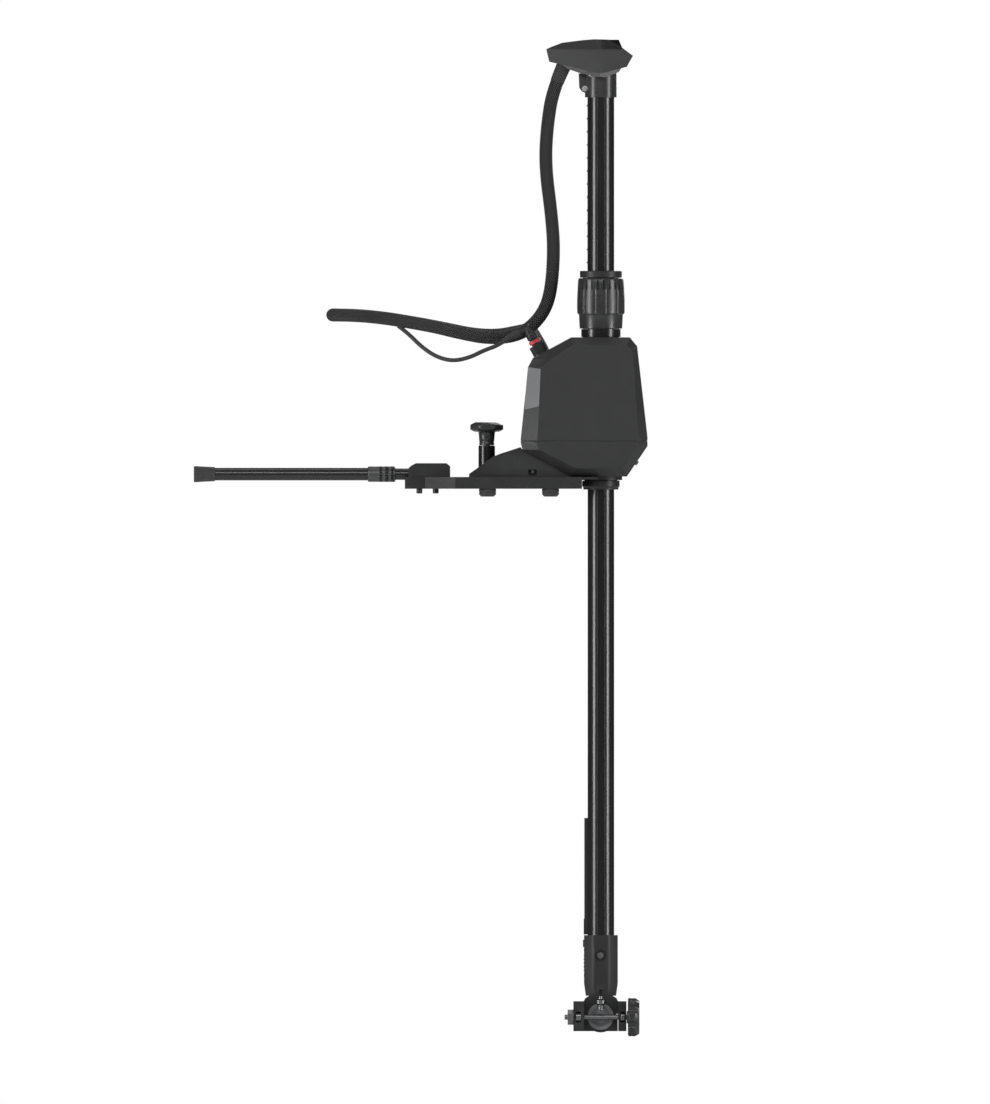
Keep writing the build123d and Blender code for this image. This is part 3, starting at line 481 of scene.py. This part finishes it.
def part_of(points, start, end, step):
    """Evenly spaced points along a line, from one length along it to another."""
    count = max(2, round((end - start) / step))
    wanted = [start + (end - start) * k / count for k in range(count + 1)]
    result, passed, i = [], 0.0, 0
    for place in wanted:
        while i < len(points) - 2 and passed + (points[i + 1] - points[i]).length < place:
            passed += (points[i + 1] - points[i]).length
            i += 1
        run = points[i + 1] - points[i]
        result.append(points[i] + run * ((place - passed) / max(run.length, 1e-9)))
    return result


def tube(name, points, radius_at, around, material):
    """A mesh tube along points. radius_at(metres along, turns around) is its radius in metres."""
    verts, faces, uv = [], [], []
    along, side = 0.0, None
    places = []
    for i, point in enumerate(points):
        ahead = (points[min(i + 1, len(points) - 1)] - points[max(i - 1, 0)]).normalized()
        if side is None:
            side = frame_along(ahead)[0]
        side = (side - ahead * side.dot(ahead)).normalized()
        other = ahead.cross(side)
        if i:
            along += (point - points[i - 1]).length
        places.append(along)
        for k in range(around):
            turn = k / around
            angle = 2 * math.pi * turn
            r = radius_at(along, turn)
            verts.append(point + (side * math.cos(angle) + other * math.sin(angle)) * r)
    for i in range(len(points) - 1):
        for k in range(around):
            n = (k + 1) % around
            a, b = i * around, (i + 1) * around
            faces.append((a + k, a + n, b + n, b + k))
            uv += [(places[i], k / around), (places[i], (k + 1) / around),
                   (places[i + 1], (k + 1) / around), (places[i + 1], k / around)]
    for ring, turned in ((0, True), (len(points) - 1, False)):
        cap = [ring * around + k for k in range(around)]
        faces.append(tuple(reversed(cap)) if turned else tuple(cap))
        uv += [(places[ring], 0.0)] * around
    return add_mesh(name, verts, faces, material, uv)


# ---------------------------------------------------------------- cords
LOOM_STRANDS = 14
LOOM_PITCH = 2 * math.pi * LOOM_R / LOOM_STRANDS
LOOM_STEP = 0.00125                     # between rings of the mesh
LOOM_AROUND = 56
RIB_PITCH = 0.0036                      # of the strain reliefs' ribs


def coil_route():
    """The stored turns: an upright coil whose second turn lies inside its first."""
    widen = 1 / (0.75 + 0.25 * math.cos(2 * math.pi / COIL_STEPS))
    step = 2 * math.pi / COIL_STEPS
    points = []
    for k in range(1, round(COIL_END / step) + 1):
        angle = k * step
        share = min(max((angle - COIL_SHIFT[0]) / (COIL_SHIFT[1] - COIL_SHIFT[0]), 0.0), 1.0)
        share = share * share * (3 - 2 * share)
        reach = widen * (COIL_RADII[0] + (COIL_RADII[1] - COIL_RADII[0]) * share)
        points.append((COIL_X, COIL_CENTRE[0] - reach * math.cos(angle),
                       COIL_CENTRE[1] - reach * math.sin(angle)))
    return points


def braided(along, turn):
    """The sleeve's radius: it stands a little proud at each crossing of its strands."""
    waves = [abs(math.sin(math.pi * (LOOM_STRANDS * turn + s * along / LOOM_PITCH))) for s in (1, -1)]
    return LOOM_R - 0.00028 + 0.00050 * waves[0] * waves[1]


def make_loom(paint):
    """The braided loom in its two runs, its stored turns, its plug and the strain relief at the head."""
    upper_line = route_line(LOOM_UPPER_ROUTE)
    lower_line = route_line(LOOM_LOWER_ROUTE + coil_route() + COIL_TAIL)
    upper_path = part_of(upper_line, 0.0, length_of(upper_line), LOOM_STEP)
    lower_path = part_of(lower_line, 0.0, length_of(lower_line), LOOM_STEP)
    upper = tube("loom_from_head", upper_path, braided, LOOM_AROUND, paint["loom"])
    lower = tube("loom_to_coil", lower_path, braided, LOOM_AROUND, paint["loom"])
    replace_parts(upper, "loom_upper")
    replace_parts(lower, "loom_lower", "loom_coil")
    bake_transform(upper)
    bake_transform(lower)
    connector = make_connector(paint, Vector(lower_path[-1]))
    sleeve = part_of(upper_line, 0.0, 0.026, 0.0006)
    gland = tube("loom_strain_relief", sleeve,
                 lambda s, t: 0.0096 - 0.032 * s + 0.00018 * math.cos(s * 2 * math.pi / RIB_PITCH),
                 64, paint["rubber"])
    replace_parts(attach(gland, "pole"), "loom_gland")


def make_connector(paint, end):
    """A round plug with a knurled coupling ring, on the loom's stored end."""
    profile = soften([(0, -3), (8.4, -3), (8.7, 0), (8.7, 8), (7.4, 10), (7.4, 15), (8.9, 16), (8.9, 26),
                      (7.6, 27), (7.6, 33), (5.6, 33), (5.6, 22), (0, 22)], 0.6)
    ring = scallops(24, 9.6, 1.0)
    body = lathe("loom_plug", end, PLUG_AXIS, profile, paint["moulded"], 192,
                 lambda angle, h: ring(angle) if 16.5 < h < 25.5 else math.inf)
    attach(body, "base")
    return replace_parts(body, "loom_connector")


def make_strap(paint):
    """A webbing band round both turns, with a thicker hem at its edges."""
    lo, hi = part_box("loom_strap")
    centre = (lo + hi) / 2
    half = (COIL_RADII[0] - COIL_RADII[1]) / 2
    inner, thick, tall = LOOM_R + 0.0001, 0.0012, 0.0095
    outline = []
    for side, base in ((1, 0), (-1, 180)):
        for k in range(17):
            angle = math.radians(base + 180 * k / 16)
            outline.append((Vector((0, side * half, 0)), Vector((math.cos(angle), math.sin(angle), 0))))
    rows = [(inner, -tall), (inner + thick, -tall), (inner + thick + 0.0002, -tall + 0.0012)]
    rows += [(inner + thick, 0), (inner + thick + 0.0002, tall - 0.0012), (inner + thick, tall), (inner, tall)]
    verts, faces = [], []
    for anchor, out in outline:
        for r, z in rows:
            verts.append(centre + anchor + out * r + Vector((0, 0, z)))
    count, turn = len(rows), len(outline)
    for i in range(turn):
        for j in range(count):
            a, b = i * count, ((i + 1) % turn) * count
            n = (j + 1) % count
            faces.append((a + j, b + j, b + n, a + n))
    band = add_mesh("coil_strap", verts, faces, paint["strap"])
    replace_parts(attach(band, "base"), "loom_strap")


def make_lead(paint):
    """The power lead, from the plug up into the loom, and its strain relief."""
    line = route_line(LEAD_ROUTE)
    path = part_of(line, 0.0, length_of(line), 0.002)
    lead = tube("power_cord", path, lambda s, t: LEAD_R, 32, paint["jacket"])
    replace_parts(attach(lead, "base"), "power_lead")
    boot = tube("lead_strain_relief", part_of(line, 0.0, 0.024, 0.0005),
                lambda s, t: 0.0049 - 0.075 * s + 0.0004 * math.cos(s * 2 * math.pi / RIB_PITCH),
                48, paint["rubber"])
    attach(boot, "base")


# ---------------------------------------------------------------- power plug
PLUG_OUT = Vector((-0.478, 0.0, 0.878))
LEAD_OUT = Vector((-0.897, 0.0, -0.442))
PLUG_ELBOW = Vector((0.01096, 0.0, 0.21327))


def make_plug(paint):
    """The elbow plug: a ribbed body up to a round elbow, with its nose towards the lead."""
    foot = PLUG_ELBOW - PLUG_OUT * 32 * MM
    profile = soften([(0, 0), (5.7, 0), (5.7, 17), (6.9, 17.2), (6.9, 24), (6.2, 25), (6.2, 29), (5.4, 34.5),
                      (3.0, 37.2), (0, 37.6)], 0.8)
    knurl = scallops(20, 7.6, 0.75)
    body = lathe("plug_body", foot, PLUG_OUT, profile, paint["moulded"], 160,
                 lambda angle, h: knurl(angle) if 18.0 < h < 23.4 else math.inf)
    nose = lathe("plug_nose", PLUG_ELBOW - LEAD_OUT * 2 * MM, LEAD_OUT,
                 soften([(0, 0), (4.6, 0), (5.2, 3), (5.2, 12.4), (4.7, 14), (0, 14)], 0.7), paint["moulded"], 64)
    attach(nose, "base")
    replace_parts(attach(body, "base"), "elbow_plug")
    ring = lathe("red_collar", PLUG_ELBOW - PLUG_OUT * 21 * MM, PLUG_OUT,
                 soften([(5.7, 0), (7.6, 0), (7.6, 4.5), (5.7, 4.5)], 0.7), paint["red"], 96)
    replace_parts(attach(ring, "base"), "plug_ring")


# ---------------------------------------------------------------- housing trim
def make_side_panel(paint):
    """The paler panel that wraps the housing's arm side above mid height, a little proud of it."""
    proud, sunk = 0.3, -0.4
    # X at the panel's low and high edge and height there, from the front face round to the back face
    stations = [((25.4, 114.9), (27.6, 162.0), 52.0), ((6.5, 110.5), (11.5, 164.6), 38.0)]
    stations += [(low, high, -y) for low, high, y in reversed(stations)]
    outward = [(-0.42, 0.9), (-0.78, 0.45), (-0.78, -0.45), (-0.42, -0.9)]
    rows = 6
    verts, faces = [], []
    for depth in (proud, sunk):
        for (low, high, y), (ox, oy) in zip(stations, outward):
            for k in range(rows + 1):
                x, z = (low[i] + (high[i] - low[i]) * k / rows for i in (0, 1))
                verts.append(Vector((x + ox * depth, y + oy * depth, z)) * MM)
    strip, layer = rows + 1, 4 * (rows + 1)
    for i in range(3):
        for k in range(rows):
            a = i * strip + k
            quad = (a, a + strip, a + strip + 1, a + 1)
            faces += [quad, tuple(layer + v for v in reversed(quad))]
    for i in range(3):
        for end in (0, rows):
            a = i * strip + end
            faces.append((a, a + strip, layer + a + strip, layer + a))
    for i in (0, 3):
        for k in range(rows):
            a = i * strip + k
            faces.append((a, a + 1, layer + a + 1, layer + a))
    panel = add_mesh("housing_side_panel", verts, faces, paint["panel"])
    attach(panel, "base")


# ---------------------------------------------------------------- turned grips and rubber pieces
def make_collar(paint):
    """The depth collar: a barrel-shaped grip with flutes and slots, over a smooth skirt."""
    flutes = scallops(12, 31.9, 2.6, math.radians(15))
    slots = scallops(24, 28.6, 1.05, math.radians(7.5))

    def trim(angle, height):
        if not 232.5 < height < 276.5:
            return math.inf
        return min(flutes(angle), slots(angle)) if height > 263.0 else flutes(angle)

    edge = [(23.1, 213.4), (26.4, 213.4), (27.0, 213.9), (27.1, 214.6), (27.9, 231.0), (28.3, 231.7), (29.7, 232.4),
            (29.75, 232.6), (30.1, 234.0), (30.25, 240.0), (30.2, 250.0), (29.9, 258.0), (29.6, 262.9), (29.6, 263.1),
            (29.2, 270.0), (28.9, 275.4), (28.6, 276.4), (28.4, 276.6), (27.4, 277.5), (23.1, 277.5), (23.1, 213.4)]
    grip = lathe("collar_grip", (POLE_X, 0, 0), (0, 0, 1), edge, paint["grip"], 480, trim)
    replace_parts(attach(grip, "collar"), "depth_collar")


def make_release_knob(paint):
    """The mushroom knob: an eight-sided rim on a turned sleeve."""

    def octagon(angle):
        off = (angle + math.pi / 8) % (math.pi / 4) - math.pi / 8
        return 20.9 / math.cos(off)

    profile = [(0, 65.3), (9.2, 65.3), (9.5, 65.8), (9.5, 69), (9.2, 69.4), (9.2, 70.2), (9.6, 70.6), (9.9, 76),
               (10.4, 81.4), (11.2, 82.3), (15.6, 82.5), (20.9, 85.2), (21.8, 86.2), (22.1, 87.2), (22.1, 90),
               (21.6, 91), (19.5, 92.2), (15.4, 94.1), (14.0, 94.6), (12.6, 94.3), (11.8, 93.4), (0, 93.4)]
    knob = lathe("knob_head", (KNOB_X, 0, 0), (0, 0, 1), profile, paint["grip"], 320,
                 lambda angle, height: octagon(angle) if 84 < height < 92.5 else math.inf)
    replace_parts(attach(knob, "release"), "release_knob")


def make_star_knob(paint):
    """The clamp's lobed hand knob, banded round its rim."""
    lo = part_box("star_knob")[0]
    lobes = scallops(8, 27.5, 5.6, math.radians(22.5))
    start = (lo.x, CLAMP_Y, CLAMP_Z)
    edge = [(3.31, 0), (8.0, 0), (8.0, 1.3), (22.4, 1.5), (23.7, 2.1), (24.4, 3.0), (24.4, 5.6), (23.9, 6.1),
            (23.9, 6.8), (24.4, 7.3), (24.4, 10.6), (24.0, 11.2), (21.6, 15.3), (20.8, 16.1), (12.4, 16.1),
            (11.6, 15.4), (8.2, 15.2), (7.6, 16.1), (3.31, 16.1), (3.31, 0)]
    knob = lathe("clamp_hand_knob", start, (1, 0, 0), edge, paint["grip"], 384,
                 lambda angle, height: lobes(angle) if height > 1.4 else math.inf)
    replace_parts(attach(knob, "knob"), "star_knob")


def make_small_screws(paint):
    """The socket screw's rim, two trim screws under the head, and the sleeve of the jaw's spacer."""
    ring = [(1.9, 0.9), (1.9, 2.6), (2.1, 2.75), (3.7, 2.55), (4.05, 2.1), (4.1, 1.0), (1.9, 0.9)]
    rim = lathe("socket_screw_rim", (0.1034, -0.0168, -0.5826), (0, -1, 0), ring, paint["steel"], 48)
    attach(rim, "pole")
    dome = [(0, 0), (1.5, 0), (1.5, 0.25), (1.25, 0.6), (0.8, 0.75), (0.7, 0.35), (0, 0.3)]
    for number, x in enumerate((0.0905, 0.1045), 1):
        pip = lathe(f"head_trim_screw_{number}", (x, -0.0202, 0.5345), (0, -1, 0), dome, paint["steel"], 32)
        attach(pip, "pole")
    washer = [(3.5, 0), (6.3, 0), (6.5, 0.25), (6.5, 2.0), (6.2, 2.25), (6.2, 2.55), (6.5, 2.8), (6.5, 4.5),
              (6.3, 4.76), (3.5, 4.76), (3.5, 0)]
    spacer = lathe("jaw_spacer_sleeve", (0.12962, CLAMP_Y, CLAMP_Z), (1, 0, 0), washer, paint["dark_steel"], 64)
    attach(spacer, "jaw")


def make_lock_slots(paint):
    """The dark windows round the arm's locking collar, each a shallow pillow with a raised frame."""
    # radius, half its angle and half its width, from the outer edge in to the middle
    steps = [(9.87, 0.46, 2.1), (10.05, 0.44, 1.95), (10.05, 0.39, 1.5), (9.93, 0.36, 1.25), (9.93, 0.1, 0.3)]
    outline = [(-1, -1), (-1, 0), (-1, 1), (0, 1), (1, 1), (1, 0), (1, -1), (0, -1)]
    verts, faces = [], []
    for x in (-175.4, -168.0, -160.7):
        for turn in range(6):
            middle = math.radians(60 * turn + 90)
            start = len(verts)
            for radius, half, width in steps:
                for along, side in outline:
                    angle = middle + half * side
                    verts.append(Vector(((x + width * along) * MM, radius * MM * math.cos(angle),
                                         ARM_Z + radius * MM * math.sin(angle))))
            for ring in range(4):
                for k in range(8):
                    a, n = start + ring * 8 + k, start + ring * 8 + (k + 1) % 8
                    faces.append((a, n, n + 8, a + 8))
            faces.append(tuple(start + 32 + k for k in range(8)))
            faces.append(tuple(start + k for k in reversed(range(8))))
    windows = add_mesh("lock_windows", verts, faces, paint["trim"])
    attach(windows, "arm_lock")


def make_feet(paint):
    """Four deck feet, each ribbed round its edge."""
    x = (FOOT_LOW.x + 11 * MM, FOOT_HIGH.x - 11 * MM)
    y = (FOOT_LOW.y + 11 * MM, FOOT_HIGH.y - 11 * MM)
    profile = [(3.3, 0), (7.4, 0), (8.6, 0.5), (10.5, 2.6), (10.9, 3.4), (10.9, 4.8), (10.4, 5.2), (10.4, 5.9),
               (10.9, 6.3), (10.9, 9.4), (10.4, 10), (3.3, 10), (3.3, 0)]
    places = [(px, py, 0) for px in x for py in y]
    for number, place in enumerate(places, 1):
        foot = lathe(f"deck_foot_{number}", place, (0, 0, 1), profile, paint["rubber"], 72)
        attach(foot, "base")
        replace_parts(foot, "mount_feet")


def make_arm_foot(paint):
    """The tapered rubber foot on the arm's end."""
    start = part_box("arm_foot")[0].x
    profile = soften([(0, 0.4), (5, 0), (9.9, 0), (10.35, 2.5), (9.7, 12), (9.05, 26.4), (8.7, 27), (8.05, 27)], 0.7)
    tip = lathe("arm_rubber_foot", (start, 0, ARM_Z), (1, 0, 0), profile, paint["rubber"], 96)
    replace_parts(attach(tip, "arm_outer"), "arm_foot")


def copy_softened(name, node, body, material, width):
    """A rubber piece from a CAD node's own shape, with rounded edges."""
    piece = bpy.data.objects.new(name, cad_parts[node].data.copy())
    bpy.context.collection.objects.link(piece)
    piece.data.materials.clear()
    piece.data.materials.append(material)
    round_edges(piece, width)
    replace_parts(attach(piece, body), node)


def make_grommet(paint):
    """The ribbed cable boot in the pole socket's side."""
    lo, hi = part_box("cable_grommet")
    middle, half = (lo + hi) / 2, (hi - lo) / 2
    verts, faces = [], []
    rows, across = 60, 12
    for i in range(rows + 1):
        z = lo.z + (hi.z - lo.z) * i / rows
        swell = 0.5 + 0.5 * math.cos(2 * math.pi * 5 * i / rows + math.pi)
        end = min(1.0, 8 * min(i, rows - i) / rows + 0.15)
        for k in range(across + 1):
            angle = math.pi * k / across
            y = middle.y - half.y * math.cos(angle) * (0.9 + 0.1 * swell) * end
            depth = (0.0013 + 0.0015 * swell) * math.sin(angle) ** 0.6 * end
            verts.append((hi.x - 0.0002 - depth, y, z))
    for i in range(rows):
        for k in range(across):
            a = i * (across + 1) + k
            faces.append((a, a + 1, a + across + 2, a + across + 1))
    rim = [i * (across + 1) for i in range(rows + 1)]
    rim += [(i + 1) * (across + 1) - 1 for i in reversed(range(rows + 1))]
    faces.append(tuple(rim))
    boot = add_mesh("cable_boot", verts, faces, paint["rubber"])
    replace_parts(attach(boot, "pole"), "cable_grommet")


def make_spring(paint):
    """The release spring, drawn at one fixed length; on the real unit it shortens as the knob is pulled."""
    lo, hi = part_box("release_spring")
    turns, wire = 5, 0.8 * MM
    radius = (hi.x - lo.x) / 2 - wire
    low, high = lo.z + wire, hi.z - wire
    count = turns * 32
    points = []
    for k in range(count + 1):
        angle = 2 * math.pi * turns * k / count
        points.append(Vector((KNOB_X + radius * math.cos(angle), radius * math.sin(angle),
                              low + (high - low) * k / count)))
    spring = tube("plunger_spring", points, lambda s, t: wire, 12, paint["steel"])
    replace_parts(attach(spring, "base"), "release_spring")
    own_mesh(spring)


# ---------------------------------------------------------------- CAD nodes: edges and finish
def round_edges(piece, width):
    """Closes the imported mesh, joins its flat faces and rounds its sharp edges."""
    weld = piece.modifiers.new("close", "WELD")
    weld.merge_threshold = 1e-6
    flat = piece.modifiers.new("flat", "DECIMATE")
    flat.decimate_type = "DISSOLVE"
    flat.angle_limit = math.radians(0.5)
    bevel = piece.modifiers.new("edges", "BEVEL")
    bevel.width = width
    bevel.segments = 2
    bevel.limit_method = "ANGLE"
    bevel.angle_limit = math.radians(35)
    bevel.use_clamp_overlap = True
    piece.modifiers.new("shading", "WEIGHTED_NORMAL")


FINISH = {
    "housing": (0.0009, ["upper_cover", "lower_cover"]),
    "head": (0.0008, ["head_cover"]),
    "trim": (0.0005, ["head_cap"]),
    "hub": (0.0006, ["tilt_hub"]),
    "moulded": (0.0006, ["base_plate", "arm_block", "mount_bracket", "power_socket", "lower_ring", "collet_cap",
                         "depth_strip", "cable_cover", "pole_socket", "clamp_yoke", "clamp_jaw"]),
    "grip": (0.0005, ["head_base"]),
    "lock": (0.0004, ["arm_lock_collar"]),
    "arm": (0.0003, ["arm_inner_tube", "arm_outer_tube"]),
    "pole": (0.0003, ["pole", "steering_tube", "plunger_barrel", "arm_studs"]),
    "steel": (0.0003, ["release_pin", "drive_pinion", "motor_gearbox", "head_screw"]),
    "dark_steel": (0.0003, ["bracket_screws", "cover_screws", "drive_motor", "yoke_screw",
                            "socket_screws", "cross_bolt"]),
    "casting": (0.0006, ["chassis"]),
    "bronze": (0.0003, ["lock_bush", "upper_bush", "lower_bush"]),
    "nylon": (0.0002, ["steering_gear", "pole_collet"]),
    "board": (0.0001, ["control_board", "head_board"]),
}


def finish_cad(paint):
    """Gives each solid that stays in view its material and its edge radius."""
    for kind, (width, names) in FINISH.items():
        for name in names:
            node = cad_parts[name]
            node.data.materials.clear()
            node.data.materials.append(paint[kind])
            round_edges(node, width)


def make_seals(paint):
    """The housing's gasket and the shaft's lip seals."""
    copy_softened("cover_seal", "cover_gasket", "base", paint["rubber"], 0.0003)
    copy_softened("shaft_lip_seals", "shaft_seals", "base", paint["rubber"], 0.0005)


# ---------------------------------------------------------------- the scene
make_camera()
paint = make_materials()
make_loom(paint)
make_lead(paint)
make_strap(paint)
make_plug(paint)
make_side_panel(paint)
make_collar(paint)
make_release_knob(paint)
make_star_knob(paint)
make_small_screws(paint)
make_lock_slots(paint)
make_feet(paint)
make_arm_foot(paint)
make_grommet(paint)
make_spring(paint)
make_seals(paint)
finish_cad(paint)
make_light()
make_floor()
